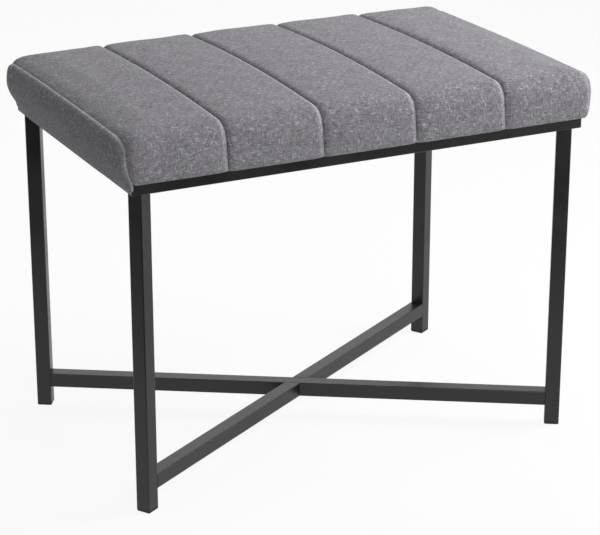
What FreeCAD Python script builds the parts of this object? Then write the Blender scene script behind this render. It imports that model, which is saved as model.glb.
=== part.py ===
import FreeCAD, Part
import math
import os

# Upholstered bench on a crossed tube base.
# The origin is on the floor, under the middle of the seat.
# X runs along the seat, Y from front to back, Z up.  Millimetres.

# Base of square steel tube
tube_size = 19.0
tube_wall = 1.5
tube_edge_radius = 1.4
leg_pitch_x = 572.5
leg_pitch_y = 352.5
leg_length = 400.0
leg_top_thickness = 2.0
leg_inset = 2.0
stretcher_bottom = 27.0

# Foot plugs
foot_head_height = 4.0
foot_chamfer = 1.2
foot_edge_chamfer = 1.2
foot_stem_height = 16.0
foot_stem_wall = 2.0
foot_fin_count = 2
foot_fin_height = 2.0
foot_fit = 0.15

# Corner plates and the bolts that hold the seat
plate_leg = 45.0
plate_thickness = 3.0
plate_hole_inset = 15.0
bolt_diameter = 6.0
bolt_length = 16.0
bolt_head_diameter = 12.0
bolt_head_height = 3.4
bolt_hole_clearance = 0.3
washer_diameter = 14.0
washer_thickness = 1.2
insert_diameter = 9.0
insert_length = 10.0

# Seat board and dust cover
board_thickness = 12.0
board_edge_gap = 14.0
board_corner_radius = 12.0
dust_thickness = 0.6
dust_gap = 1.5

# Fabric cover
fabric = 1.5
soft_gap = 0.3
flap_on_rail = 17.5
lip_drop = 3.2
lip_gap = 0.5
panel_count = 5
end_seam_overhang = 7.2
front_overhang = 16.7
front_lean = 8.0
edge_height = 57.2
crown_rise = 11.5
end_crown_rise = 3.0
bow_rise = 1.5
top_radius = 25.0
bottom_radius = 6.0
end_bottom_radius = 8.0

# Seams draw the cover in: by this much, over this distance
seam_drop = 3.2
seam_draw = 3.0
seam_reach = 26.0
end_seam_drop = 6.5
end_seam_draw = 4.0
end_seam_reach = 34.0
seam_shares = (0, 0.5)

# End panels swell out past the end seams, and round off towards their middle
end_swell = 14.0
end_round = 18.0
end_lip_drop = 4.5
end_angles = (0, 30, 55, 80)

Vector = FreeCAD.Vector
z_axis = Vector(0, 0, 1)

# Levels and outlines that follow from the sizes above
diagonal = math.hypot(leg_pitch_x, leg_pitch_y)
diagonal_angle = math.degrees(math.atan2(leg_pitch_y, leg_pitch_x))
leg_reach = tube_size / 2 * (leg_pitch_x + leg_pitch_y) / diagonal
frame_half_x = leg_pitch_x / 2 + leg_reach + leg_inset
frame_half_y = leg_pitch_y / 2 + leg_reach + leg_inset
opening_half_x = frame_half_x - tube_size
opening_half_y = frame_half_y - tube_size
leg_bottom = foot_head_height
leg_top = leg_bottom + leg_length
frame_top = leg_top + tube_size
board_bottom = frame_top + fabric
board_top = board_bottom + board_thickness
seat_half_x = frame_half_x + end_seam_overhang
panel_width = 2 * seat_half_x / panel_count
seat_half_y = frame_half_y + front_overhang
board_half_x = seat_half_x - fabric - soft_gap
board_half_y = seat_half_y - end_seam_draw - board_edge_gap
plate_bottom = frame_top - plate_thickness
bolt_x = opening_half_x - plate_hole_inset
bolt_y = opening_half_y - plate_hole_inset

corners = {
    "front_left": (-1, -1),
    "front_right": (1, -1),
    "back_left": (-1, 1),
    "back_right": (1, 1),
}
bolt_places = [(side_x * bolt_x, side_y * bolt_y) for side_x, side_y in corners.values()]


def save(node, shape):
    if not shape.isValid():
        raise ValueError(node + " is not a valid shape")
    shape.exportStep("parts/" + node + ".step")
    print(node, len(shape.Solids), round(shape.Volume))


def rounded_path(points, radii, cut_flat=False):
    """Lines through the points, rounded by the radii, or cut with two flats inside each round."""
    edges = []
    start = points[0]
    for before, corner, after, radius in zip(points, points[1:], points[2:], radii):
        arrive = (corner - before).normalize()
        leave = (after - corner).normalize()
        turn = arrive.getAngle(leave)
        if radius == 0 or turn < 1e-6:
            edges.append(Part.LineSegment(start, corner).toShape())
            start = corner
            continue
        setback = radius * math.tan(turn / 2)
        inward = (leave - arrive).normalize()
        reach = radius / math.cos(turn / 2) - radius
        arc_start = corner - arrive * setback
        arc_end = corner + leave * setback
        arc_middle = corner + inward * reach
        edges.append(Part.LineSegment(start, arc_start).toShape())
        if cut_flat:
            edges.append(Part.LineSegment(arc_start, arc_middle).toShape())
            edges.append(Part.LineSegment(arc_middle, arc_end).toShape())
        else:
            edges.append(Part.Arc(arc_start, arc_middle, arc_end).toShape())
        start = arc_end
    edges.append(Part.LineSegment(start, points[-1]).toShape())
    return edges


def square_prism(size, radius, height):
    """Square bar along Z, centred on the axis, with rounded long edges."""
    bar = Part.makeBox(size, size, height, Vector(-size / 2, -size / 2, 0))
    if radius == 0:
        return bar
    long_edges = [edge for edge in bar.Edges if abs(edge.tangentAt(0).z) > 0.9]
    return bar.makeFillet(radius, long_edges)


def square_tube(length):
    """Square tube along Z from 0 to its length."""
    bore = square_prism(tube_size - 2 * tube_wall, 0, length)
    return square_prism(tube_size, tube_edge_radius, length).cut(bore)


def level_tube(length, angle):
    """Square tube lying level, centred on the origin, at an angle from X."""
    tube = square_tube(length)
    tube.translate(Vector(0, 0, -length / 2))
    tube.rotate(Vector(0, 0, 0), Vector(0, 1, 0), 90)
    tube.rotate(Vector(0, 0, 0), z_axis, angle)
    return tube


def disc(diameter, height, bottom):
    return Part.makeCylinder(diameter / 2, height, Vector(0, 0, bottom))


def at_bolts(shape):
    """One copy of a fastener at each corner plate."""
    copies = []
    for x, y in bolt_places:
        copy = shape.copy()
        copy.translate(Vector(x, y, 0))
        copies.append(copy)
    return Part.makeCompound(copies)


# Legs: tubes closed at the top, turned to face along the diagonals
def leg(side_x, side_y):
    shape = square_tube(leg_length)
    bore = tube_size - 2 * tube_wall
    lid = square_prism(bore, 0, leg_top_thickness)
    lid.translate(Vector(0, 0, leg_length - leg_top_thickness))
    shape = shape.fuse(lid).removeSplitter()
    shape.rotate(Vector(0, 0, 0), z_axis, side_x * side_y * diagonal_angle)
    shape.translate(Vector(side_x * leg_pitch_x / 2, side_y * leg_pitch_y / 2, leg_bottom))
    return shape


# Foot plugs: a chamfered head under the tube, and a finned stem inside it
def foot(side_x, side_y):
    head = square_prism(tube_size, 0, foot_head_height)
    upright = [edge for edge in head.Edges if abs(edge.tangentAt(0).z) > 0.9]
    head = head.makeChamfer(foot_edge_chamfer, upright)
    rim = [edge for edge in head.Edges if edge.BoundBox.ZMax < 0.01]
    head = head.makeChamfer(foot_chamfer, rim)
    bore = tube_size - 2 * tube_wall
    fin_size = bore - 2 * foot_fit
    stem_size = fin_size - 2 * foot_stem_wall
    stem = square_prism(stem_size, 0, foot_stem_height)
    hollow = square_prism(stem_size - 2 * foot_stem_wall, 0, foot_stem_height)
    stem = stem.cut(hollow)
    fin_step = foot_stem_height / foot_fin_count
    for index in range(foot_fin_count):
        fin = square_prism(fin_size, 0, foot_fin_height)
        fin = fin.cut(square_prism(stem_size - 2 * foot_stem_wall, 0, foot_fin_height))
        fin.translate(Vector(0, 0, (index + 0.5) * fin_step))
        stem = stem.fuse(fin)
    stem.translate(Vector(0, 0, foot_head_height))
    shape = head.fuse(stem).removeSplitter()
    shape.rotate(Vector(0, 0, 0), z_axis, side_x * side_y * diagonal_angle)
    shape.translate(Vector(side_x * leg_pitch_x / 2, side_y * leg_pitch_y / 2, 0))
    return shape


# Crossed stretchers: one runs through, and two halves butt against its sides
def stretchers():
    length = diagonal - tube_size
    lift = Vector(0, 0, stretcher_bottom + tube_size / 2)
    through = level_tube(length, -diagonal_angle)
    through.translate(lift)
    crossing = Part.makeBox(length, tube_size, tube_size, Vector(-length / 2, -tube_size / 2, -tube_size / 2))
    crossing.rotate(Vector(0, 0, 0), z_axis, -diagonal_angle)
    halves = level_tube(length, diagonal_angle).cut(crossing)
    halves.translate(lift)
    front, back = sorted(halves.Solids, key=lambda solid: solid.CenterOfMass.y)
    return through, front, back


# Top frame: four tubes mitred at the corners
def rail(along_x, side):
    half_length, half_width = frame_half_x, frame_half_y
    if not along_x:
        half_length, half_width = frame_half_y, frame_half_x
    outline = [
        Vector(-half_length, -half_width, 0),
        Vector(half_length, -half_width, 0),
        Vector(half_length - tube_size, tube_size - half_width, 0),
        Vector(tube_size - half_length, tube_size - half_width, 0),
    ]
    mitre = Part.Face(Part.makePolygon(outline + outline[:1])).extrude(Vector(0, 0, tube_size))
    tube = level_tube(2 * half_length, 0)
    tube.translate(Vector(0, tube_size / 2 - half_width, tube_size / 2))
    shape = tube.common(mitre)
    turn = {(True, -1): 0, (False, 1): 90, (True, 1): 180, (False, -1): 270}[(along_x, side)]
    shape.rotate(Vector(0, 0, 0), z_axis, turn)
    shape.translate(Vector(0, 0, leg_top))
    return shape


# Corner plates: three-cornered, welded flush with the top of the rails
def corner_plate(side_x, side_y):
    outline = [
        Vector(side_x * opening_half_x, side_y * opening_half_y, plate_bottom),
        Vector(side_x * (opening_half_x - plate_leg), side_y * opening_half_y, plate_bottom),
        Vector(side_x * opening_half_x, side_y * (opening_half_y - plate_leg), plate_bottom),
    ]
    plate = Part.Face(Part.makePolygon(outline + outline[:1])).extrude(Vector(0, 0, plate_thickness))
    hole = disc(bolt_diameter + 2 * bolt_hole_clearance, plate_thickness, plate_bottom)
    hole.translate(Vector(side_x * bolt_x, side_y * bolt_y, 0))
    return plate.cut(hole)


# Seat fasteners: flat head bolts from below, washers, and threaded inserts in the board
def bolt():
    head_top = plate_bottom - washer_thickness
    head = disc(bolt_head_diameter, bolt_head_height, head_top - bolt_head_height)
    return head.fuse(disc(bolt_diameter, bolt_length, head_top)).removeSplitter()


def washer():
    bottom = plate_bottom - washer_thickness
    ring = disc(washer_diameter, washer_thickness, bottom)
    return ring.cut(disc(bolt_diameter + 2 * bolt_hole_clearance, washer_thickness, bottom))


def insert():
    sleeve = disc(insert_diameter, insert_length, board_bottom)
    return sleeve.cut(disc(bolt_diameter + bolt_hole_clearance, insert_length, board_bottom))


# Seat board: plywood, bored for the threaded inserts
def board():
    shape = Part.makeBox(
        2 * board_half_x, 2 * board_half_y, board_thickness, Vector(-board_half_x, -board_half_y, board_bottom)
    )
    upright = [edge for edge in shape.Edges if abs(edge.tangentAt(0).z) > 0.9]
    shape = shape.makeFillet(board_corner_radius, upright)
    return shape.cut(at_bolts(disc(insert_diameter, board_thickness, board_bottom)))


# Dust cover: thin cloth on the board's underside, inside the frame, clear of the plates
def dust_cover():
    half_x = opening_half_x - dust_gap
    half_y = opening_half_y - dust_gap
    cut = plate_leg + dust_gap
    ends = []
    for side_x, side_y in ((-1, -1), (1, -1), (1, 1), (-1, 1)):
        on_long_side = Vector(side_x * (half_x - cut), side_y * half_y, 0)
        on_short_side = Vector(side_x * half_x, side_y * (half_y - cut), 0)
        pair = [on_long_side, on_short_side]
        if side_x * side_y > 0:
            pair.reverse()
        ends.extend(pair)
    face = Part.Face(Part.makePolygon(ends + ends[:1]))
    face.translate(Vector(0, 0, board_bottom - dust_thickness))
    return face.extrude(Vector(0, 0, dust_thickness))


# Cover: the outline of the seat across its length, at a distance x along it.
# Cross seams and end seams draw the outline in; between them each panel swells.
def drawn_in(x):
    """How far the top drops and the sides draw in at x, beside the nearest seams."""
    drop = 0.0
    draw = 0.0
    for index in range(panel_count + 1):
        at_end = index in (0, panel_count)
        reach = end_seam_reach if at_end else seam_reach
        distance = abs(x + seat_half_x - index * panel_width)
        share = max(0.0, 1 - distance / reach) ** 2
        drop = max(drop, share * (end_seam_drop if at_end else seam_drop))
        draw = max(draw, share * (end_seam_draw if at_end else seam_draw))
    return drop, draw


def seat_corners(x, inset):
    """Corner points of the upper outline, from the bottom front round to the bottom back."""
    drop, draw = drawn_in(x)
    towards_end = (x / seat_half_x) ** 2
    bow = bow_rise * towards_end
    rise = crown_rise + (end_crown_rise - crown_rise) * towards_end
    half_bottom = seat_half_y - draw - inset
    half_top = half_bottom - front_lean
    bottom = frame_top - lip_drop + inset
    edge = frame_top + edge_height - drop - bow - inset
    crown = edge + rise
    upper = [Vector(x, -half_bottom, bottom), Vector(x, -half_top, edge), Vector(x, 0, crown)]
    mirrored = [Vector(x, half_top, edge), Vector(x, half_bottom, bottom)]
    slope = math.atan2(rise, half_top)
    crown_radius = (half_top - 2 * top_radius) / math.tan(slope)
    low_radius = bottom_radius + (end_bottom_radius - bottom_radius) * draw / end_seam_draw - inset
    high_radius = top_radius - inset
    return upper + mirrored, [low_radius, high_radius, crown_radius, high_radius, low_radius]


def cover_path(x, inset, cut_flat=False):
    """Open outline of a cover panel: flap, lip, front, top, back, lip, flap."""
    upper, radii = seat_corners(x, inset)
    flap = frame_top + inset
    lip = frame_top - lip_drop + inset
    flap_end = opening_half_y + tube_size - flap_on_rail
    step = frame_half_y + lip_gap + inset
    front = [Vector(x, -flap_end, flap), Vector(x, -step, flap), Vector(x, -step, lip)]
    back = [Vector(x, step, lip), Vector(x, step, flap), Vector(x, flap_end, flap)]
    return rounded_path(front + upper + back, [0, 0] + radii + [0, 0], cut_flat)


def foam_wire(x, inset):
    """Closed outline of the foam inside a cover panel, with its corners cut flat."""
    edges = cover_path(x, inset, True)
    start = edges[0].Vertexes[0].Point
    end = edges[-1].Vertexes[-1].Point
    return Part.Wire(edges + [Part.LineSegment(end, start).toShape()])


def strip_wire(x):
    """Thin closed outline of the fabric itself."""
    outer = cover_path(x, 0)
    inner = cover_path(x, fabric)
    first = Part.LineSegment(inner[0].Vertexes[0].Point, outer[0].Vertexes[0].Point).toShape()
    last = Part.LineSegment(outer[-1].Vertexes[-1].Point, inner[-1].Vertexes[-1].Point).toShape()
    return Part.Wire(outer + [last] + inner[::-1] + [first])


def panel_stations(index):
    """Places along one panel: at its two seams, and where it rises from them."""
    start = -seat_half_x + index * panel_width
    end = start + panel_width
    left = end_seam_reach if index == 0 else seam_reach
    right = end_seam_reach if index == panel_count - 1 else seam_reach
    rising = [start + left * share for share in seam_shares]
    falling = [end - right * share for share in reversed(seam_shares)]
    return rising + falling


def cover_panel(index):
    return Part.makeLoft([strip_wire(x) for x in panel_stations(index)], True, True)


# End panels: domes that swell out from the end seams, along a quarter of an ellipse
def dome(inset, cut_flat=False):
    """Closed dome past the right end seam, drawn in by an inset."""
    wires = []
    for angle in map(math.radians, end_angles):
        corner_points, radii = seat_corners(seat_half_x, inset)
        x = seat_half_x + (end_swell - inset) * math.sin(angle)
        shrink = end_round * (1 - math.cos(angle))
        lift = shrink - end_lip_drop * math.sin(2 * angle)
        moved = []
        for point, level in zip(corner_points, (lift, -shrink, -shrink, -shrink, lift)):
            half = max(0.0, abs(point.y) - shrink)
            moved.append(Vector(x, math.copysign(half, point.y), point.z + level))
        flatter = (moved[1].z - moved[0].z) / (corner_points[1].z - corner_points[0].z)
        narrower = moved[1].y / corner_points[1].y
        middle = Vector(x, 0, moved[0].z)
        shares = (flatter, flatter, narrower, flatter, flatter)
        radii = [radius * share for radius, share in zip(radii, shares)]
        wires.append(Part.Wire(rounded_path([middle] + moved + [middle], radii, cut_flat)))
    return Part.makeLoft(wires, True, True)


def end_flap():
    """Fabric under the end of the board: over the end rail, and down outside it."""
    lip = frame_top - lip_drop
    step = frame_half_x + lip_gap
    inner_end = frame_half_x - flap_on_rail
    half_length = opening_half_y - dust_gap
    profile = [
        Vector(inner_end, -half_length, frame_top),
        Vector(step, -half_length, frame_top),
        Vector(step, -half_length, lip),
        Vector(seat_half_x, -half_length, lip),
        Vector(seat_half_x, -half_length, lip + fabric),
        Vector(step + fabric, -half_length, lip + fabric),
        Vector(step + fabric, -half_length, board_bottom),
        Vector(inner_end, -half_length, board_bottom),
    ]
    return Part.Face(Part.makePolygon(profile + profile[:1])).extrude(Vector(0, 2 * half_length, 0))


def end_panel():
    return dome(0).cut(dome(fabric)).fuse(end_flap()).removeSplitter()


def mirrored_in_x(shape):
    return shape.mirror(Vector(0, 0, 0), Vector(1, 0, 0))


# Foam: one pad inside the cover, as high as the seams, over and round the board
def foam():
    inset = fabric + soft_gap
    seams = [-seat_half_x + index * panel_width for index in range(panel_count + 1)]
    slab = Part.makeLoft([foam_wire(x, inset) for x in seams], True, True)
    end = dome(inset, True)
    pad = slab.fuse([end, mirrored_in_x(end)]).removeSplitter()
    seat = Part.makeBox(
        2 * board_half_x, 2 * board_half_y, board_thickness, Vector(-board_half_x, -board_half_y, board_bottom)
    )
    return pad.cut(seat)


os.makedirs("parts", exist_ok=True)

for name, (side_x, side_y) in corners.items():
    save("leg_" + name, leg(side_x, side_y))
    save("foot_plug_" + name, foot(side_x, side_y))
    save("corner_plate_" + name, corner_plate(side_x, side_y))

stretcher_through, stretcher_front, stretcher_back = stretchers()
save("stretcher_through", stretcher_through)
save("stretcher_half_front", stretcher_front)
save("stretcher_half_back", stretcher_back)

save("rail_front", rail(True, -1))
save("rail_back", rail(True, 1))
save("rail_left", rail(False, -1))
save("rail_right", rail(False, 1))

save("seat_bolts", at_bolts(bolt()))
save("seat_washers", at_bolts(washer()))
save("threaded_inserts", at_bolts(insert()))
save("seat_board", board())
save("dust_cover", dust_cover())

for index in range(panel_count):
    save("cover_panel_" + str(index + 1), cover_panel(index))
right_end = end_panel()
save("end_panel_right", right_end)
save("end_panel_left", mirrored_in_x(right_end))
save("foam_pad", foam())
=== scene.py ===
import math
import bpy
import numpy as np
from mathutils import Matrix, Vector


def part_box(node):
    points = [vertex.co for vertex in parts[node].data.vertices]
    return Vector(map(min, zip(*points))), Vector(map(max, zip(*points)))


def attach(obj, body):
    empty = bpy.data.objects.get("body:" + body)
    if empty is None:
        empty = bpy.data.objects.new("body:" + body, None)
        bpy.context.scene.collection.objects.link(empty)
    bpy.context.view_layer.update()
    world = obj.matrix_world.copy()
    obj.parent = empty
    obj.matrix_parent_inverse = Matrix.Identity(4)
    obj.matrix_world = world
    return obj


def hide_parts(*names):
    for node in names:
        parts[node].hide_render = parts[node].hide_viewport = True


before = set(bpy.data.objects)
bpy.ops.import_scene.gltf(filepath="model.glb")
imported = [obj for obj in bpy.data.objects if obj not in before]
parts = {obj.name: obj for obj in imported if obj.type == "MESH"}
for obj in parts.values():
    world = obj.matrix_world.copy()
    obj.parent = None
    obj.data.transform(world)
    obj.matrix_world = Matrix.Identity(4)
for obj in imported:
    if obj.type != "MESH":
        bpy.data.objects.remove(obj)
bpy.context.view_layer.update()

# Base and seat frame: legs, crossed stretchers, four rails and corner plates of mild steel tube and plate.
# They are welded, the welds are ground flush, and the whole frame is powder coated in satin black.


def linear(hex_colour):
    """An sRGB hex colour as linear RGBA."""
    shares = [int(hex_colour[i:i + 2], 16) / 255 for i in (1, 3, 5)]
    return [s / 12.92 if s < 0.04045 else ((s + 0.055) / 1.055) ** 2.4 for s in shares] + [1.0]


def node(material, kind, inputs=None, **settings):
    """Adds a node with its settings. Each input is a value, or an output socket to link."""
    made = material.node_tree.nodes.new(kind)
    for name, value in settings.items():
        setattr(made, name, value)
    for name, value in (inputs or {}).items():
        if isinstance(value, bpy.types.NodeSocket):
            material.node_tree.links.new(value, made.inputs[name])
        else:
            made.inputs[name].default_value = value
    return made


def finish(name, inputs):
    """A new material, with the values of its shader that are the same all over."""
    material = bpy.data.materials.new(name)
    material.use_nodes = True
    shader = material.node_tree.nodes["Principled BSDF"]
    for key, value in inputs.items():
        shader.inputs[key].default_value = value
    return material


def link(material, output, key):
    """Joins a node's output to a socket of the material's shader."""
    shader = material.node_tree.nodes["Principled BSDF"]
    material.node_tree.links.new(output, shader.inputs[key])


def dress(piece, material):
    """Gives a piece this material alone."""
    piece.data.materials.clear()
    piece.data.materials.append(material)


# Powder coat: a baked polymer skin over steel, near black, with a soft satin gloss.
# Its faint orange peel breaks up reflections, and its gloss wanders a little along each tube.
peel_size = 0.0025  # real orange peel is about 1 mm, drawn coarser so that it shows
gloss_patch = 0.06
coat_dark = linear("#0d0d0e")
coat_light = linear("#141415")
coat = finish("satin_powder_coat_on_steel", {"IOR": 1.5, "Specular IOR Level": 0.5})
place = node(coat, "ShaderNodeTexCoord").outputs["Object"]
peel = node(coat, "ShaderNodeTexNoise", {"Vector": place, "Scale": 1 / peel_size, "Detail": 2.0})
patches = node(coat, "ShaderNodeTexNoise", {"Vector": place, "Scale": 1 / gloss_patch, "Detail": 3.0})
tone = node(coat, "ShaderNodeMix", {0: patches.outputs["Fac"], 6: coat_dark, 7: coat_light}, data_type="RGBA")
gloss = node(coat, "ShaderNodeMapRange", {0: patches.outputs["Fac"], 1: 0.3, 2: 0.7, 3: 0.3, 4: 0.4})
skin = node(coat, "ShaderNodeBump", {"Height": peel.outputs["Fac"], "Distance": 0.0004, "Strength": 0.12})
link(coat, tone.outputs[2], "Base Color")
link(coat, gloss.outputs[0], "Roughness")
link(coat, skin.outputs["Normal"], "Normal")

corners = ("front_left", "front_right", "back_left", "back_right")
for corner in corners:
    dress(parts["leg_" + corner], coat)
    dress(parts["corner_plate_" + corner], coat)
for name in ("through", "half_front", "half_back"):
    dress(parts["stretcher_" + name], coat)
for name in ("front", "back", "left", "right"):
    dress(parts["rail_" + name], coat)

# Foot plugs: square caps of black polyethylene, moulded in one piece and pressed into the open leg ends.
# The head is spark-eroded in the mould, which leaves a fine matt grain.
grain_size = 0.0012  # real grain is about 0.3 mm, drawn coarser so that it shows
plug = finish("moulded_black_polyethylene", {"IOR": 1.51, "Specular IOR Level": 0.4})
place = node(plug, "ShaderNodeTexCoord").outputs["Object"]
grain = node(plug, "ShaderNodeTexNoise", {"Vector": place, "Scale": 1 / grain_size, "Detail": 3.0})
dull = node(plug, "ShaderNodeMapRange", {0: grain.outputs["Fac"], 1: 0.3, 2: 0.7, 3: 0.55, 4: 0.72})
tone = node(plug, "ShaderNodeMix", {0: grain.outputs["Fac"], 6: linear("#0f0f10"), 7: linear("#191919")},
            data_type="RGBA")
skin = node(plug, "ShaderNodeBump", {"Height": grain.outputs["Fac"], "Distance": 0.0003, "Strength": 0.25})
link(plug, tone.outputs[2], "Base Color")
link(plug, dull.outputs[0], "Roughness")
link(plug, skin.outputs["Normal"], "Normal")
for corner in corners:
    dress(parts["foot_plug_" + corner], plug)

# Seat board: birch plywood, sawn to size and bored for the inserts.
# Its faces show long grain, and its edges the thin dark lines of the glued plies.
ply_thickness = 0.0013
glue_line = 0.0003  # real glue lines are about 0.1 mm, drawn thicker so that they show
grain_width = 0.004
grain_length = 0.12
birch = finish("birch_plywood", {"Roughness": 0.62, "IOR": 1.5})
place = node(birch, "ShaderNodeTexCoord").outputs["Object"]
stretch = node(birch, "ShaderNodeMapping",
               {"Vector": place, "Scale": (1 / grain_length, 1 / grain_width, 1.0)})
figure = node(birch, "ShaderNodeTexNoise", {"Vector": stretch.outputs[0], "Scale": 1.0, "Detail": 4.0})
timber = node(birch, "ShaderNodeMix", {0: figure.outputs["Fac"], 6: linear("#b58d5c"), 7: linear("#dcc08f")},
              data_type="RGBA")
level = node(birch, "ShaderNodeSeparateXYZ", {"Vector": place}).outputs["Z"]
plies = node(birch, "ShaderNodeMath", {0: level, 1: ply_thickness}, operation="PINGPONG")
glue = node(birch, "ShaderNodeMapRange", {0: plies.outputs[0], 1: 0.0, 2: glue_line, 3: 0.6, 4: 0.0})
edge = node(birch, "ShaderNodeMix", {0: glue.outputs[0], 6: timber.outputs[2], 7: linear("#6e4e2c")},
            data_type="RGBA")
link(birch, edge.outputs[2], "Base Color")
dress(parts["seat_board"], birch)

# Threaded inserts and washers: turned and stamped steel with bright zinc plating.
# Zinc is pale and slightly blue, with cloudy patches of gloss.
cloud_size = 0.006
zinc = finish("bright_zinc_plated_steel", {"Metallic": 1.0})
place = node(zinc, "ShaderNodeTexCoord").outputs["Object"]
clouds = node(zinc, "ShaderNodeTexNoise", {"Vector": place, "Scale": 1 / cloud_size, "Detail": 4.0})
tone = node(zinc, "ShaderNodeMix", {0: clouds.outputs["Fac"], 6: linear("#9fa3a6"), 7: linear("#c9ccce")},
            data_type="RGBA")
gloss = node(zinc, "ShaderNodeMapRange", {0: clouds.outputs["Fac"], 1: 0.3, 2: 0.7, 3: 0.24, 4: 0.42})
link(zinc, tone.outputs[2], "Base Color")
link(zinc, gloss.outputs[0], "Roughness")
dress(parts["threaded_inserts"], zinc)
dress(parts["seat_washers"], zinc)

# Seat bolts: four zinc plated bolts with low round heads and a hexagon socket.
# They come up through the corner plates and washers into the inserts.
mm = 0.001  # pieces are drawn in millimetres, and the scene is in metres


def add_piece(name, points, faces, material, smooth=True):
    """A mesh piece from points in millimetres, riding on the bench."""
    mesh = bpy.data.meshes.new(name)
    mesh.from_pydata([tuple(p) for p in np.asarray(points, float) * mm], [], faces)
    mesh.update()
    piece = bpy.data.objects.new(name, mesh)
    bpy.context.scene.collection.objects.link(piece)
    mesh.materials.append(material)
    if smooth:
        mesh.shade_smooth()
    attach(piece, "root")
    return piece


def ring_faces(first, ring_count, sides):
    """Quads between neighbouring rings of points, and a cap on the first and the last ring."""
    faces = []
    for k in range(ring_count - 1):
        low = first + k * sides
        for i in range(sides):
            j = (i + 1) % sides
            faces.append((low + i, low + sides + i, low + sides + j, low + j))
    last = first + (ring_count - 1) * sides
    faces.append(tuple(range(first, first + sides)))
    faces.append(tuple(reversed(range(last, last + sides))))
    return faces


bolt_head_radius = 6.0
bolt_shank_radius = 3.0
bolt_head_height = 3.4
head_side = 1.2
head_rounding = ((0.3, 1.0), (1.0, 0.35), (2.2, 0.0))  # steps in from the head's side, and up from its bottom
point_chamfer = 0.5
socket_radius = 2.3
socket_depth = 2.0
socket_chamfer = 0.25
bolt_sides = 24
bolts_low, bolts_high = (np.array(corner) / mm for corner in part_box("seat_bolts"))
head_bottom = bolts_low[2]
head_top = head_bottom + bolt_head_height
turns = np.arange(bolt_sides) * 2 * math.pi / bolt_sides
round_ring = np.stack([np.cos(turns), np.sin(turns)], 1)
flat_turn = (turns + math.pi / 6) % (math.pi / 3) - math.pi / 6
hexagon_ring = round_ring * (math.cos(math.pi / 6) / np.cos(flat_turn))[:, None]
bolt_rings = [
    (round_ring, bolt_shank_radius - point_chamfer, bolts_high[2]),
    (round_ring, bolt_shank_radius, bolts_high[2] - point_chamfer),
    (round_ring, bolt_shank_radius, head_top),
    (round_ring, bolt_head_radius, head_top),
    (round_ring, bolt_head_radius, head_top - head_side),
]
bolt_rings += [(round_ring, bolt_head_radius - step, head_bottom + height) for step, height in head_rounding]
bolt_rings += [
    (hexagon_ring, socket_radius + socket_chamfer, head_bottom),
    (hexagon_ring, socket_radius, head_bottom + socket_chamfer),
    (hexagon_ring, socket_radius, head_bottom + socket_depth),
]
bolt_points = []
bolt_faces = []
for side_x in (bolts_low[0] + bolt_head_radius, bolts_high[0] - bolt_head_radius):
    for side_y in (bolts_low[1] + bolt_head_radius, bolts_high[1] - bolt_head_radius):
        bolt_faces += ring_faces(len(bolt_points), len(bolt_rings), bolt_sides)
        for ring, radius, height in bolt_rings:
            bolt_points += [(side_x + radius * a, side_y + radius * b, height) for a, b in ring]
bolts = add_piece("seat_bolts_socket_head", bolt_points, bolt_faces, zinc, smooth=False)
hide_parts("seat_bolts")

# Foam pad: one slab of cut polyurethane foam, glued to the board and wrapped round its edges.
# The cover hides it, so it only fills the cover. Cut foam is pale, dull and full of small open cells.
cell_size = 0.002
foam = finish("cut_polyurethane_foam", {"Roughness": 0.95, "Specular IOR Level": 0.2})
place = node(foam, "ShaderNodeTexCoord").outputs["Object"]
cells = node(foam, "ShaderNodeTexVoronoi", {"Vector": place, "Scale": 1 / cell_size})
tone = node(foam, "ShaderNodeMix", {0: cells.outputs["Distance"], 6: linear("#e9e1c4"), 7: linear("#c9bf9c")},
            data_type="RGBA")
pits = node(foam, "ShaderNodeBump", {"Height": cells.outputs["Distance"], "Distance": 0.001, "Strength": 0.5})
link(foam, tone.outputs[2], "Base Color")
link(foam, pits.outputs["Normal"], "Normal")

# The cover's section follows from the frame and from the panels' seams, and the foam fills it.
rail_low, rail_high = (np.array(corner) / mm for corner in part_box("rail_front"))
frame_half_x = rail_high[0]
frame_half_y = -rail_low[1]
frame_top = rail_high[2]
panel_count = 5
seams = [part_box("cover_panel_1")[0].x / mm]
seams += [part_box("cover_panel_%d" % number)[1].x / mm for number in range(1, panel_count + 1)]
seam_half_x = seams[-1]
flap_on_rail = 17.5
lip_gap = 0.5
lip_drop = 3.2
front_overhang = 16.0
front_lean = 8.0
edge_height = 56.4
crown_rise = 11.0
end_crown_rise = 3.0
bow_rise = 1.5
top_radius = 25.0
bottom_radius = 6.0
end_bottom_radius = 8.0
seam_drop = 1.2
seam_draw = 1.4
seam_reach = 20.0
end_seam_drop = 6.5
end_seam_draw = 7.0
end_drop_reach = 21.0
end_draw_reach = 9.0
line_steps = (3, 1, 3, 11, 4, 4, 11, 3, 1, 3)  # points on each straight run of the section, front to back
arc_steps = (0, 0, 6, 9, 56, 9, 6, 0, 0)  # points in each of its rounded corners


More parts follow.
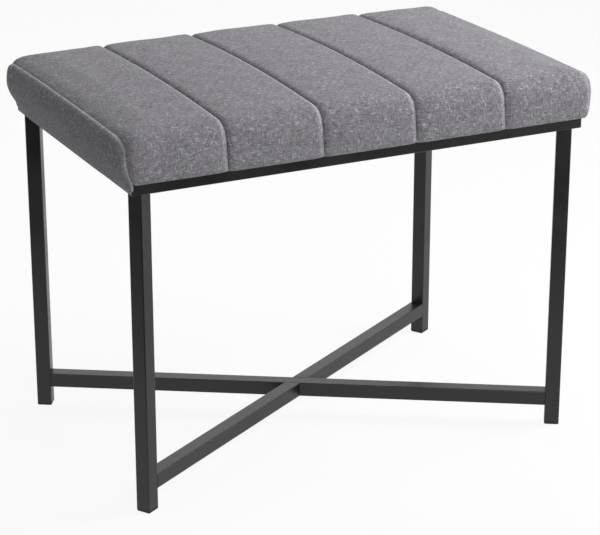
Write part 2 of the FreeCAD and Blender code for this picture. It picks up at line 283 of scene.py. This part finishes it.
def rounded_line(points, radii):
    """Points along a path of straight runs with rounded corners, as many for any sizes."""
    path = [points[0]]
    start = points[0]
    for k in range(1, len(points) - 1):
        arrive = points[k] - points[k - 1]
        leave = points[k + 1] - points[k]
        arrive = arrive / np.hypot(*arrive)
        leave = leave / np.hypot(*leave)
        half_turn = math.acos(np.clip(arrive @ leave, -1, 1)) / 2
        setback = radii[k - 1] * math.tan(half_turn)
        arc_start = points[k] - arrive * setback
        arc_end = points[k] + leave * setback
        path += [start + (arc_start - start) * s for s in np.linspace(0, 1, line_steps[k - 1] + 1)[1:]]
        for s in np.linspace(0, 1, arc_steps[k - 1] + 1)[1:]:
            weights = np.array([(1 - s) ** 2, 2 * s * (1 - s) * math.cos(half_turn), s * s])
            path.append(weights @ np.stack([arc_start, points[k], arc_end]) / weights.sum())
        start = arc_end
    path += [start + (points[-1] - start) * s for s in np.linspace(0, 1, line_steps[-1] + 1)[1:]]
    return np.array(path)


def section(x, inset=0.0):
    """The cover's outline across the bench at x: flap, lip, front, top, back, lip and flap."""
    drop = 0.0
    draw = 0.0
    for k, seam in enumerate(seams):
        away = abs(x - seam)
        if k in (0, len(seams) - 1):
            drop = max(drop, end_seam_drop * max(0.0, 1 - away / end_drop_reach) ** 2)
            turn = max(0.0, 1 - away / end_draw_reach)
            draw = max(draw, end_seam_draw * (1 - math.sqrt(1 - turn ** 2)))
        else:
            drop = max(drop, seam_drop * max(0.0, 1 - away / seam_reach) ** 2)
            draw = max(draw, seam_draw * max(0.0, 1 - away / seam_reach) ** 2)
    towards_end = (x / seam_half_x) ** 2
    rise = crown_rise + (end_crown_rise - crown_rise) * towards_end
    half_bottom = frame_half_y + front_overhang - draw - inset
    half_top = half_bottom - front_lean
    lip = frame_top - lip_drop + inset
    edge = frame_top + edge_height - drop - bow_rise * towards_end - inset
    step = frame_half_y + lip_gap + inset
    low = bottom_radius + (end_bottom_radius - bottom_radius) * draw / end_seam_draw - inset
    high = top_radius - inset
    crown = (half_top - 2 * top_radius) / math.tan(math.atan2(rise, half_top))
    front = [(-frame_half_y + flap_on_rail, frame_top + inset), (-step, frame_top + inset), (-step, lip)]
    front += [(-half_bottom, lip), (-half_top, edge)]
    back = [(-y, z) for y, z in reversed(front)]
    points = [np.array(p) for p in front + [(0.0, edge + rise)] + back]
    return rounded_line(points, (0, 0, low, high, crown, high, low, 0, 0))


def grid_faces(rows, columns, first=0):
    """Quads of a grid of points that is stored row by row."""
    faces = []
    for r in range(rows - 1):
        for c in range(columns - 1):
            a = first + r * columns + c
            faces.append((a, a + 1, a + columns + 1, a + columns))
    return faces


foam_inset = 8.0
foam_steps = 41
foam_places = np.linspace(seams[0] + foam_inset, seams[-1] - foam_inset, foam_steps)
foam_sections = [section(x, foam_inset) for x in foam_places]
foam_rows = len(foam_sections[0])
foam_points = [(x, y, z) for x, outline in zip(foam_places, foam_sections) for y, z in outline]
foam_faces = grid_faces(foam_steps, foam_rows)
last = (foam_steps - 1) * foam_rows
for here in range(0, last, foam_rows):
    beyond = here + foam_rows
    foam_faces.append((beyond - 1, here, beyond, beyond + foam_rows - 1))
foam_faces.append(tuple(range(foam_rows)))
foam_faces.append(tuple(reversed(range(last, last + foam_rows))))
foam_pad = add_piece("foam_slab", foam_points, foam_faces, foam)
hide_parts("foam_pad")

# Cover panels: five strips of grey melange upholstery cloth and two end panels, sewn with plain seams.
# The cover is pulled down over the foam, which swells between the seams, and is stapled under the board.
# Pale and dark yarns give the cloth a fine grey fleck, and its short nap gives a soft sheen.
cloth = finish("grey_melange_woven_upholstery", {
    "Roughness": 0.92,
    "Specular IOR Level": 0.25,
    "Sheen Weight": 0.22,
    "Sheen Roughness": 0.45,
    "Sheen Tint": linear("#d9d7db"),
})
yarn_pitch = 0.0021  # real yarns are about 1.2 mm apart, drawn coarser so that they show
yarn_length = 0.0075
patch_size = 0.004
mottle_size = 0.022
yarn_wander = 0.7
yarn_relief = 0.25
highlight_gain = 0.55  # painted highlight: the cloth is painted paler beside each seam, where the light catches its crest
yarn_tones = ((0.25, "#5f5d63"), (0.44, "#7d7b81"), (0.58, "#89878d"), (0.78, "#bab8bd"))
weave = node(cloth, "ShaderNodeUVMap", uv_map="cloth").outputs["UV"]
along = node(cloth, "ShaderNodeMapping", {"Vector": weave, "Scale": (1 / yarn_length, 1 / yarn_pitch, 1.0)})
across = node(cloth, "ShaderNodeMapping", {"Vector": weave, "Scale": (1 / yarn_pitch, 1 / yarn_length, 1.0)})
weft = node(cloth, "ShaderNodeTexNoise", {"Vector": along.outputs[0], "Scale": 1.0, "Detail": 1.0})
warp = node(cloth, "ShaderNodeTexNoise", {"Vector": across.outputs[0], "Scale": 1.0, "Detail": 1.0})
patch = node(cloth, "ShaderNodeTexNoise", {"Vector": weave, "Scale": 1 / patch_size, "Detail": 1.0})
over = node(cloth, "ShaderNodeMapRange", {0: patch.outputs["Fac"], 1: 0.44, 2: 0.56, 3: 0.0, 4: 1.0})
fleck = node(cloth, "ShaderNodeMix", {0: over.outputs[0], 2: weft.outputs["Fac"], 3: warp.outputs["Fac"]})
yarns = node(cloth, "ShaderNodeValToRGB", {"Fac": fleck.outputs[0]})
for number, (at, colour) in enumerate(yarn_tones):
    stops = yarns.color_ramp.elements
    stop = stops[number] if number < 2 else stops.new(at)
    stop.position = at
    stop.color = linear(colour)
mottle = node(cloth, "ShaderNodeTexNoise", {"Vector": weave, "Scale": 1 / mottle_size, "Detail": 3.0})
shade = node(cloth, "ShaderNodeMapRange", {0: mottle.outputs["Fac"], 1: 0.3, 2: 0.7, 3: 0.9, 4: 1.1})
# Painted highlight: a point attribute makes the cloth paler beside the seams and along the end panels' lower
# edges.
edge = node(cloth, "ShaderNodeAttribute", attribute_name="painted_seam_highlight")
painted_highlight_factor = node(cloth, "ShaderNodeMath", {0: edge.outputs["Fac"], 1: highlight_gain, 2: shade.outputs[0]},
            operation="MULTIPLY_ADD")
shaded = node(cloth, "ShaderNodeVectorMath", {0: yarns.outputs["Color"], 1: painted_highlight_factor.outputs[0]},
              operation="MULTIPLY")
bend = node(cloth, "ShaderNodeVectorMath", {0: patch.outputs["Color"], 1: (yarn_pitch * yarn_wander,) * 3},
            operation="MULTIPLY")
lattice = node(cloth, "ShaderNodeVectorMath", {0: weave, 1: bend.outputs[0]}, operation="ADD")
counts = node(cloth, "ShaderNodeMapping",
              {"Vector": lattice.outputs[0], "Scale": (math.pi / yarn_pitch,) * 3})
axes = node(cloth, "ShaderNodeSeparateXYZ", {"Vector": counts.outputs[0]})
wave_u = node(cloth, "ShaderNodeMath", {0: axes.outputs["X"]}, operation="SINE")
wave_v = node(cloth, "ShaderNodeMath", {0: axes.outputs["Y"]}, operation="SINE")
crossing = node(cloth, "ShaderNodeMath", {0: wave_u.outputs[0], 1: wave_v.outputs[0]}, operation="MULTIPLY")
relief = node(cloth, "ShaderNodeMath", {0: crossing.outputs[0], 1: yarn_relief, 2: fleck.outputs[0]},
              operation="MULTIPLY_ADD")
nap = node(cloth, "ShaderNodeBump", {"Height": relief.outputs[0], "Distance": 0.0008, "Strength": 0.4})
link(cloth, shaded.outputs[0], "Base Color")
link(cloth, nap.outputs["Normal"], "Normal")

# The cover is first made as a blank on a coarse even grid, and the foam's push swells it between the seams.
blank_steps = 20
end_swell = 10.0
fullest = 0.62  # the place, from its lower edge up to the seam, where the end panel bulges most
low_share = 0.25
low_curve = 2.2
seam_curve = 2.5
seam_roundness = 0.6
corner_round = 25.0
corner_roundness = 0.8
low_corner_round = 30.0
low_corner_fade = 8
end_dip = 8.5
dip_fade = 3
dip_reach = 16.0
corner_hang = 4.0
hang_reach = 9.0
under_steps = 5
under_sag = 1.5
under_flatness = 0.3
corner_tuck = seam_half_x - frame_half_x - 1.5
tuck_start_x = frame_half_x - 30
tuck_start_y = frame_half_y - 70
tuck_top = frame_top + 24
rows = len(section(0.0))
side_first = sum(line_steps[:3]) + arc_steps[2] // 2
top_start = sum(line_steps[:4]) + sum(arc_steps[:3]) + arc_steps[3] // 2


def end_patch(outline, a_shares, b_shares, hangs):
    """An end panel past the right end seam: a runs from front to back, b from its lower edge up to the seam.

    Its lower corners are tucked up, or the front one hangs down beside the end of the rail.
    """
    front = outline[side_first:top_start + 1]
    top = outline[top_start:rows - top_start]
    front_steps = np.arange(len(front))
    top_steps = np.arange(len(top))
    points = np.zeros((len(b_shares), len(a_shares), 3))
    for i, b in enumerate(b_shares):
        side_y, side_z = (np.interp(b * front_steps[-1], front_steps, front[:, n]) for n in (0, 1))
        if b < fullest:
            bulge = 1 - (1 - low_share) * (1 - b / fullest) ** low_curve
        else:
            bulge = max(0.0, 1 - ((b - fullest) / (1 - fullest)) ** seam_curve) ** seam_roundness
        for j, a in enumerate(a_shares):
            top_y, top_z = (np.interp(a * top_steps[-1], top_steps, top[:, n]) for n in (0, 1))
            y = side_y * (1 - 2 * a) + b * (top_y - front[-1, 0] * (1 - 2 * a))
            z = side_z + b * (top_z - front[-1, 1])
            from_front = a * -2 * front[0, 0]
            from_back = (1 - a) * -2 * front[0, 0]
            from_side = min(from_front, from_back)
            round_reach = corner_round + low_corner_round * (1 - b) ** low_corner_fade
            fullness = math.sin(math.pi / 2 * min(1.0, from_side / round_reach)) ** corner_roundness
            dip = end_dip * min(1.0, from_side / dip_reach)
            if hangs and from_front < from_back:
                dip = end_dip + corner_hang * math.exp(-from_front / hang_reach)
            points[i, j] = (seam_half_x + end_swell * bulge * fullness, y, z - dip * (1 - b) ** dip_fade)
    return points


def end_under(lower_edge, a_shares):
    """The end panel's underside, from its lower edge in to the outer face of the end rail."""
    rail_x = frame_half_x + lip_gap
    rail_y = frame_half_y + lip_gap
    corner_x = seam_half_x - corner_tuck
    corner = corner_x - rail_x
    run = np.array(a_shares) * (2 * corner + 2 * rail_y)
    border_x = np.interp(run, (0, corner, corner + 2 * rail_y, 2 * corner + 2 * rail_y),
                         (corner_x, rail_x, rail_x, corner_x))
    border_y = np.interp(run, (corner, corner + 2 * rail_y), (-rail_y, rail_y))
    border = np.stack([border_x, border_y, np.full(len(run), frame_top - lip_drop)], 1)
    shares = np.linspace(1, 0, under_steps + 1)[:-1, None, None]
    under = lower_edge + shares * (border - lower_edge)
    hollow = np.sin(math.pi * np.array(a_shares)) ** under_flatness
    under[:, :, 2] -= under_sag * np.sin(math.pi * shares[:, :, 0]) * hollow
    return under


blank_places = np.concatenate([np.linspace(a, b, blank_steps + 1)[:-1] for a, b in zip(seams, seams[1:])])
blank_places = np.append(blank_places, seams[-1])
blank = np.array([[(x, y, z) for y, z in section(x)] for x in blank_places])
a_blank = np.linspace(0, 1, rows - 2 * top_start)
b_blank = np.linspace(0, 1, top_start - side_first + 1)
end_blank = end_patch(section(seam_half_x), a_blank, b_blank, False)
left_blank = end_patch(section(seam_half_x), a_blank, b_blank, True) * (-1, 1, 1)

swell_cap = 1.6
swell_pressure = 4.0
swell_frames = 20


def swollen():
    """How far each point of the blanks moves when the foam presses outwards and the seams are held."""
    sheets = (blank, end_blank, left_blank)
    points = np.concatenate([sheet.reshape(-1, 3) for sheet in sheets])
    faces = []
    held = []
    first = 0
    for sheet in sheets:
        count_r, count_c = sheet.shape[:2]
        quads = grid_faces(count_r, count_c, first)
        faces += quads if sheet is left_blank else [tuple(reversed(quad)) for quad in quads]
        numbers = first + np.arange(count_r * count_c).reshape(count_r, count_c)
        if sheet is blank:
            held += list(numbers[::blank_steps].ravel())
            held += list(numbers[:, :side_first].ravel()) + list(numbers[:, rows - side_first:].ravel())
        else:
            held += list(numbers[0]) + list(numbers[-1]) + list(numbers[:, 0]) + list(numbers[:, -1])
        first += count_r * count_c
    mesh = bpy.data.meshes.new("cover_blank")
    mesh.from_pydata([tuple(p) for p in points * mm], [], faces)
    trial = bpy.data.objects.new("cover_blank", mesh)
    bpy.context.scene.collection.objects.link(trial)
    group = trial.vertex_groups.new(name="held")
    group.add([int(k) for k in set(held)], 1.0, "REPLACE")
    pull = trial.modifiers.new("cloth", "CLOTH")
    pull.settings.vertex_group_mass = "held"
    pull.settings.use_pressure = True
    pull.settings.uniform_pressure_force = swell_pressure
    pull.settings.effector_weights.gravity = 0.0
    pull.point_cache.frame_end = swell_frames
    for k in range(1, swell_frames + 1):
        bpy.context.scene.frame_set(k)
    seen = trial.evaluated_get(bpy.context.evaluated_depsgraph_get())
    pushed = np.zeros(len(points) * 3)
    seen.data.vertices.foreach_get("co", pushed)
    bpy.context.scene.frame_set(1)
    bpy.data.objects.remove(trial)
    bpy.data.meshes.remove(mesh)
    moved = pushed.reshape(-1, 3) / mm - points
    length = np.linalg.norm(moved, axis=1, keepdims=True)
    moved *= np.minimum(1.0, swell_cap / np.maximum(length, 1e-9))
    cuts = np.cumsum([sheet.shape[0] * sheet.shape[1] for sheet in sheets])[:-1]
    return [part.reshape(sheet.shape) for part, sheet in zip(np.split(moved, cuts), sheets)]


cover_swell, right_swell, left_swell = swollen()

# Each panel is then drawn on a finer grid, close set at its seams, where the stitching pulls the cloth in.
groove_depth = 4.5
end_groove_depth = 2.4
full_edge = 12.0  # the seam allowance is pressed to the left, so the left panel's edge is fuller
tight_edge = 7.5
end_edge = 9.0
ridge_height = 0.5
ridge_place = 8.5
ridge_width = 4.0
near_seam = (0.0, 0.4, 0.9, 1.6, 2.5, 3.6, 5.0, 6.8, 9.2, 13.0, 18.0, 24.0, 31.0, 39.0, 47.0, 55.0)
middle_room = 2.0
ripple_count = 9
ripple_height = 0.09
shortest_ripple = 38
longest_ripple = 80
hand = np.random.default_rng(7)
ripples = []
for _ in range(ripple_count):
    wave = hand.uniform(shortest_ripple, longest_ripple)
    turn = hand.uniform(0, 2 * math.pi)
    phase = hand.uniform(0, 2 * math.pi)
    ripples.append((wave, turn, phase))


def seam_pull(distance, depth, reach):
    """How deep the stitching pulls in the rounded edge of the cloth, at a distance from the seam."""
    share = np.clip(1 - np.asarray(distance) / reach, 0, 1)
    return depth * (1 - np.sqrt(1 - share ** 2))


def ridge(distance):
    """The seam allowance under the cloth lifts it beside the seam."""
    return ridge_height * np.exp(-((distance - ridge_place) / ridge_width) ** 2)


def unevenness(u, v):
    """Slow waves that hand work leaves in foam and cloth, by the place on the flat cloth."""
    waves = [np.sin((u * math.cos(turn) + v * math.sin(turn)) * 2 * math.pi / wave + phase)
             for wave, turn, phase in ripples]
    return ripple_height * sum(waves)


def tucked(points):
    """The cover's four lower corners are drawn in to the ends of the front and back rails."""
    lengthways, sideways, height = np.moveaxis(np.array(points), 2, 0)
    share = np.clip((np.abs(lengthways) - tuck_start_x) / (seam_half_x - tuck_start_x), 0, 1) ** 2
    share *= np.clip((np.abs(sideways) - tuck_start_y) / (frame_half_y - tuck_start_y), 0, 1)
    share *= np.clip((tuck_top - height) / (tuck_top - frame_top + lip_drop), 0, 1) ** 2
    return np.stack([lengthways - np.sign(lengthways) * corner_tuck * share, sideways, height], 2)


def outward(outline):
    """Directions out of the cover, in its section."""
    run = np.gradient(outline, axis=0)
    run /= np.linalg.norm(run, axis=1, keepdims=True)
    return np.stack([-run[:, 1], run[:, 0]], 1)


def add_cloth(name, sheet, flat, highlight_share, node_name, flip):
    """A panel of cloth from a grid of points, with its flat place as its weave."""
    count_r, count_c = sheet.shape[:2]
    faces = grid_faces(count_r, count_c)
    if flip:
        faces = [tuple(reversed(face)) for face in faces]
    panel = add_piece(name, sheet.reshape(-1, 3), faces, cloth)
    weave_map = panel.data.uv_layers.new(name="cloth")
    flat_points = np.asarray(flat).reshape(-1, 2) * mm
    loops = np.zeros(len(panel.data.loops), int)
    panel.data.loops.foreach_get("vertex_index", loops)
    weave_map.uv.foreach_set("vector", flat_points[loops].astype(np.float32).ravel())
    # The painted highlight's share at each point of the panel.
    highlight_layer = panel.data.attributes.new("painted_seam_highlight", "FLOAT", "POINT")
    highlight_layer.data.foreach_set("value", np.asarray(highlight_share, np.float32).ravel())
    smooth = panel.modifiers.new("smooth", "SUBSURF")
    smooth.levels = 1
    smooth.render_levels = 1
    thick = panel.modifiers.new("thick", "SOLIDIFY")
    thick.thickness = cloth_thickness * mm
    thick.offset = -1.0
    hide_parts(node_name)


cloth_thickness = 1.4
slack_reach = 12.0
groove_start = 3  # the grooves run out beside the rail, from this many rows below the front's first one
groove_rows = 5
# Painted highlight: a pale band beside each panel's right seam, weaker on the last panel and fading down the
# front and back faces.
highlight_place = 5.0
highlight_width = 2.2
end_highlight_share = 0.25
front_highlight_share = 0.3
row_numbers = np.arange(rows)
rows_up = np.minimum(row_numbers, rows - 1 - row_numbers)
grooved = np.clip((rows_up - side_first + groove_start) / groove_rows, 0, 1)
up_share = np.clip((rows_up - side_first) / (top_start - side_first), 0, 1)
highlight_rows = front_highlight_share + (1 - front_highlight_share) * up_share ** 2
for number, (seam_left, seam_right) in enumerate(zip(seams, seams[1:]), 1):
    offsets = np.array([d for d in near_seam if d < (seam_right - seam_left) / 2 - middle_room])
    places = np.concatenate([seam_left + offsets, [(seam_left + seam_right) / 2], seam_right - offsets[::-1]])
    sheet = np.zeros((len(places), rows, 3))
    flat = np.zeros((len(places), rows, 2))
    swell = [[np.interp(places, blank_places, cover_swell[:, r, n]) for n in range(3)] for r in range(rows)]
    swell = np.array(swell).transpose(2, 0, 1)
    for k, x in enumerate(places):
        outline = section(x)
        to_left = x - seam_left
        to_right = seam_right - x
        lengths = np.linalg.norm(np.diff(outline, axis=0), axis=1)
        flat[k, :, 0] = x - seams[0]
        flat[k, :, 1] = np.concatenate([[0], np.cumsum(lengths)])
        left_depth = end_groove_depth if number == 1 else groove_depth
        right_depth = end_groove_depth if number == panel_count else groove_depth
        left_edge = end_edge if number == 1 else tight_edge
        pull = max(seam_pull(to_left, left_depth, left_edge), seam_pull(to_right, right_depth, full_edge))
        slack = min(1.0, min(to_left, to_right) / slack_reach)
        lift = ridge(to_right) - pull + slack * unevenness(flat[k, :, 0], flat[k, :, 1])
        sheet[k, :, 0] = x
        sheet[k, :, 1:] = outline + outward(outline) * (lift * grooved)[:, None]
    highlight_share = np.exp(-((seam_right - places - highlight_place) / highlight_width) ** 2)
    if number == panel_count:
        highlight_share *= end_highlight_share
    highlight_share = highlight_share[:, None] * highlight_rows
    sheet = tucked(sheet + swell)
    add_cloth("cover_panel_%d_cloth" % number, sheet, flat, highlight_share, "cover_panel_%d" % number, True)

# End panels: one strip of the same cloth at each end, sewn to the outer cover panels.
# They bulge out past the seam and tuck in under the seat, onto the end rail.
end_outline = section(seam_half_x)
length_a = 2 * (frame_half_y + front_overhang)
length_b = edge_height
near_a = np.array([d / length_a for d in near_seam])
near_b = np.array([d / length_b for d in near_seam if d < length_b / 2 - middle_room])
end_columns = 49
end_rows = 12
a_middle = np.linspace(near_a[-1], 1 - near_a[-1], end_columns)[1:-1]
a_fine = np.concatenate([near_a, a_middle, 1 - near_a[::-1]])
b_fine = np.concatenate([np.linspace(0, 1 - near_b[-1], end_rows)[:-1], 1 - near_b[::-1]])
side_dist = np.minimum(a_fine, 1 - a_fine)[None, :] * length_a
seam_dist = np.minimum(side_dist, (1 - b_fine)[:, None] * length_b)
middle = np.array([0.0, (end_outline[:, 1].max() + end_outline[:, 1].min()) / 2])
corner_reach = 30.0
# Painted highlight: a pale band along each end panel's seam, and another just above its lower edge, where the
# fold catches light from the floor.
end_tight_edge = 6.0
end_highlight_width = 2.5
lower_highlight = 0.4
lower_highlight_place = 3.0
lower_highlight_width = 2.0
lower_highlight_share = lower_highlight * np.exp(-((b_fine * length_b - lower_highlight_place) / lower_highlight_width) ** 2)
for side, swell, mirror in (("right", right_swell, 1), ("left", left_swell, -1)):
    end_fine = end_patch(end_outline, a_fine, b_fine, side == "left")
    inward = np.zeros_like(end_fine)
    to_centre = middle - end_fine[:, :, 1:]
    from_corner = np.clip(np.abs(to_centre[:, :, 0]) - length_a / 2 + corner_reach, 0, None)
    to_centre[:, :, 0] = np.sign(to_centre[:, :, 0]) * from_corner
    inward[:, :, 1:] = to_centre / np.maximum(np.linalg.norm(to_centre, axis=2, keepdims=True), 1e-6)
    pulled = end_fine + inward * seam_pull(seam_dist, end_groove_depth, end_tight_edge)[:, :, None]
    fine = np.zeros_like(end_fine)
    for n in range(3):
        by_a = np.array([np.interp(a_fine, a_blank, row) for row in swell[:, :, n]])
        fine[:, :, n] = np.array([np.interp(b_fine, b_blank, column) for column in by_a.T]).T
    face = tucked(pulled + fine * (mirror, 1, 1))
    sheet = np.concatenate([end_under(face[0], a_fine), face])
    lengths = np.linalg.norm(np.diff(sheet, axis=0), axis=2)
    flat_b = np.concatenate([np.zeros((1, len(a_fine))), np.cumsum(lengths, axis=0)])
    end_flat = np.stack(np.broadcast_arrays(a_fine[None, :] * length_a, flat_b), 2)
    seam_highlight_share = np.exp(-(seam_dist / end_highlight_width) ** 2)
    face_highlight_share = np.maximum(seam_highlight_share, lower_highlight_share[:, None])
    highlight_share = np.concatenate([np.zeros((under_steps, len(a_fine))), face_highlight_share])
    add_cloth("end_panel_%s_cloth" % side, sheet * (mirror, 1, 1), end_flat, highlight_share, "end_panel_" + side,
              side == "right")

# Dust cover: thin black non-woven cloth, stapled to the underside of the board inside the rails.
# It hides the cover's raw edges, and sags a little between its staples.
# Its matted fibres look dull and nearly black.
felt = finish("black_nonwoven_cloth", {"Roughness": 0.95, "Specular IOR Level": 0.2, "Sheen Weight": 0.15})
fibre_size = 0.002  # real fibres are far finer, drawn as tufts so that they show
place = node(felt, "ShaderNodeTexCoord").outputs["Object"]
fibres = node(felt, "ShaderNodeTexNoise",
              {"Vector": place, "Scale": 1 / fibre_size, "Detail": 4.0, "Distortion": 1.5})
tone = node(felt, "ShaderNodeMix", {0: fibres.outputs["Fac"], 6: linear("#101011"), 7: linear("#242425")},
            data_type="RGBA")
matted = node(felt, "ShaderNodeBump", {"Height": fibres.outputs["Fac"], "Distance": 0.0004, "Strength": 0.4})
link(felt, tone.outputs[2], "Base Color")
link(felt, matted.outputs["Normal"], "Normal")

dust_thickness = 0.3
dust_cut = 46.5
dust_sag = 3.0
sag_reach = 60
pucker_height = 0.3
pucker_reach = 12
staple_pitch = 48.0
dust_half_x, dust_half_y, dust_top = np.array(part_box("dust_cover")[1]) / mm


def dust_reach(y):
    """How far the dust cover reaches along the bench at y, with its corners cut off."""
    return dust_half_x - max(0.0, dust_cut - (dust_half_y - abs(y)))


def dust_level(x, y):
    """The height of the dust cover, which its staples hold up near its edge."""
    inside = max(0.0, min(dust_half_y - abs(y), dust_reach(y) - abs(x)))
    pucker = pucker_height * (1 - math.cos(2 * math.pi * x / staple_pitch))
    pucker *= inside / pucker_reach * math.exp(1 - inside / pucker_reach)
    return dust_top - dust_thickness - dust_sag * (1 - math.exp(-inside / sag_reach)) - pucker


dust_rows = 41
dust_columns = 61
dust_points = []
for y in np.linspace(-dust_half_y, dust_half_y, dust_rows):
    for x in np.linspace(-1, 1, dust_columns) * dust_reach(y):
        dust_points.append((x, y, dust_level(x, y)))
dust_faces = grid_faces(dust_rows, dust_columns)
dust_cloth = add_piece("dust_cover_cloth", dust_points, [tuple(reversed(f)) for f in dust_faces], felt)
thick = dust_cloth.modifiers.new("thick", "SOLIDIFY")
thick.thickness = dust_thickness * mm
thick.offset = 0.0
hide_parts("dust_cover")

# Staples: bright galvanised wire staples, fired through the dust cover into the board at even steps.
# Only their flat crowns show.
wire_radius = 0.45
wire_sides = 6
staple_width = 11.0
staple_inset = 8.0
staple_leg = 3.0
wire_bend = 0.6
wire_turns = np.arange(wire_sides) * 2 * math.pi / wire_sides
half_width = staple_width / 2
staple_path = np.array([
    (-half_width, staple_leg), (-half_width, wire_bend), (-half_width + wire_bend, 0.0),
    (half_width - wire_bend, 0.0), (half_width, wire_bend), (half_width, staple_leg),
])
run = np.gradient(staple_path, axis=0)
run /= np.linalg.norm(run, axis=1, keepdims=True)
sides = np.stack([-run[:, 1], run[:, 0]], 1)
edge_x = dust_half_x - staple_inset
edge_y = dust_half_y - staple_inset
staple_places = []
for x in np.arange(-5, 6) * staple_pitch:
    staple_places += [(x, -edge_y, 0.0), (x, edge_y, 0.0)]
for y in np.arange(-2.5, 3) * staple_pitch:
    staple_places += [(-edge_x, y, math.pi / 2), (edge_x, y, math.pi / 2)]
for turn_x in (-1, 1):
    for turn_y in (-1, 1):
        slant = dust_cut / 2 + staple_inset / math.sqrt(2)
        place = (turn_x * (dust_half_x - slant), turn_y * (dust_half_y - slant))
        staple_places.append((*place, -turn_x * turn_y * math.pi / 4))
staple_points = []
staple_faces = []
for x, y, turn in staple_places:
    wire_faces = ring_faces(len(staple_points), len(staple_path), wire_sides)
    staple_faces += [tuple(reversed(face)) for face in wire_faces]
    level = dust_level(x, y) - wire_radius
    for (reach, height), (side_x, side_z) in zip(staple_path, sides):
        for angle in wire_turns:
            along = reach + wire_radius * math.cos(angle) * side_x
            across = wire_radius * math.sin(angle)
            staple_points.append((x + along * math.cos(turn) - across * math.sin(turn),
                                  y + along * math.sin(turn) + across * math.cos(turn),
                                  level + height + wire_radius * math.cos(angle) * side_z))
staples = add_piece("dust_cover_staples", staple_points, staple_faces, zinc)

# Floor: a wide sheet of plain studio paper, white to the camera, with the bench's faint shadow.
# In the tubes' gloss it is white under the bench and to its right.
# Far in front of the bench it is dark there, so that the tubes' front sides stay dark.
floor_half = 20
floor_corners = [(floor_half * x, floor_half * y, 0) for x, y in ((-1, -1), (1, -1), (1, 1), (-1, 1))]
floor_mesh = bpy.data.meshes.new("floor")
floor_mesh.from_pydata(floor_corners, [], [(0, 1, 2, 3)])
floor = bpy.data.objects.new("floor", floor_mesh)
bpy.context.scene.collection.objects.link(floor)
paper = finish("white_studio_paper", {"Roughness": 0.9})
floor_mesh.materials.append(paper)
white_share = 0.9  # the rest shows how the lamps light the paper
turn_share = 1.6
dark_place = -1.5
white_place = -0.95
place = node(paper, "ShaderNodeTexCoord").outputs["Object"]
axes = node(paper, "ShaderNodeSeparateXYZ", {"Vector": place})
slant = node(paper, "ShaderNodeMath", {0: axes.outputs["Y"], 1: turn_share, 2: axes.outputs["X"]},
             operation="MULTIPLY_ADD")
near = node(paper, "ShaderNodeMapRange", {0: slant.outputs[0], 1: dark_place, 2: white_place, 3: 0.0, 4: 1.0})
tone = node(paper, "ShaderNodeMix", {0: near.outputs[0], 6: linear("#343434"), 7: linear("#f6f6f6")},
            data_type="RGBA")
link(paper, tone.outputs[2], "Base Color")
sight = node(paper, "ShaderNodeLightPath")
shown = node(paper, "ShaderNodeMath", {0: sight.outputs["Is Camera Ray"], 1: sight.outputs["Is Glossy Ray"]},
             operation="MAXIMUM")
seen = node(paper, "ShaderNodeMath", {0: shown.outputs[0], 1: white_share}, operation="MULTIPLY")
seen_tone = node(paper, "ShaderNodeMix",
                 {0: sight.outputs["Is Camera Ray"], 6: tone.outputs[2], 7: linear("#ffffff")},
                 data_type="RGBA")
white = node(paper, "ShaderNodeEmission", {"Color": seen_tone.outputs[2], "Strength": 1.0})
shader = paper.node_tree.nodes["Principled BSDF"]
both = node(paper, "ShaderNodeMixShader", {0: seen.outputs[0], 1: shader.outputs[0], 2: white.outputs[0]})
surface = paper.node_tree.nodes["Material Output"].inputs["Surface"]
paper.node_tree.links.new(both.outputs[0], surface)

# Sky: even light from all round, plain white to the camera and in reflections.
sky_level = 0.29
sky = bpy.data.worlds.new("studio")
bpy.context.scene.world = sky
sky.use_nodes = True
sight = node(sky, "ShaderNodeLightPath")
shown = node(sky, "ShaderNodeMath", {0: sight.outputs["Is Camera Ray"], 1: sight.outputs["Is Glossy Ray"]},
             operation="MAXIMUM")
level = node(sky, "ShaderNodeMapRange", {0: shown.outputs[0], 1: 0.0, 2: 1.0, 3: sky_level, 4: 1.0})
background = sky.node_tree.nodes["Background"]
background.inputs["Color"].default_value = linear("#ffffff")
sky.node_tree.links.new(level.outputs[0], background.inputs["Strength"])

# Three softboxes: the main one high on the right, a weaker one high behind, and a low one in front.
# Each has a place and a size in metres, and a power in watts, and is turned to the seat.
softboxes = (
    ("softbox_right", (1.35, -0.4, 1.4), (0.9, 0.9), 25.4),
    ("softbox_back", (0.7, 1.7, 2.3), (1.6, 1.2), 15.0),
    ("softbox_front", (-0.25, -2.3, 0.75), (1.0, 0.7), 18.0),
)
seat_level = 0.45
for name, place, size, power in softboxes:
    lamp = bpy.data.lights.new(name, "AREA")
    lamp.shape = "RECTANGLE"
    lamp.size, lamp.size_y = size
    lamp.energy = power
    softbox = bpy.data.objects.new(name, lamp)
    bpy.context.scene.collection.objects.link(softbox)
    softbox.location = place
    aim = softbox.location.copy()
    aim.z -= seat_level
    softbox.rotation_euler = aim.to_track_quat("Z", "Y").to_euler()
    softbox.visible_camera = False

# Camera: where the photograph was taken from, with a long lens.
lens = bpy.data.cameras.new("camera")
lens.sensor_width = 36.0
lens.lens = 131.4
camera = bpy.data.objects.new("camera", lens)
bpy.context.scene.collection.objects.link(camera)
camera.location = (-1.1728, -2.3774, 1.1996)
camera.rotation_euler = (math.radians(69.42), 0.0, math.radians(-26.37))
bpy.context.scene.camera = camera
bpy.context.scene.view_settings.view_transform = "Standard"
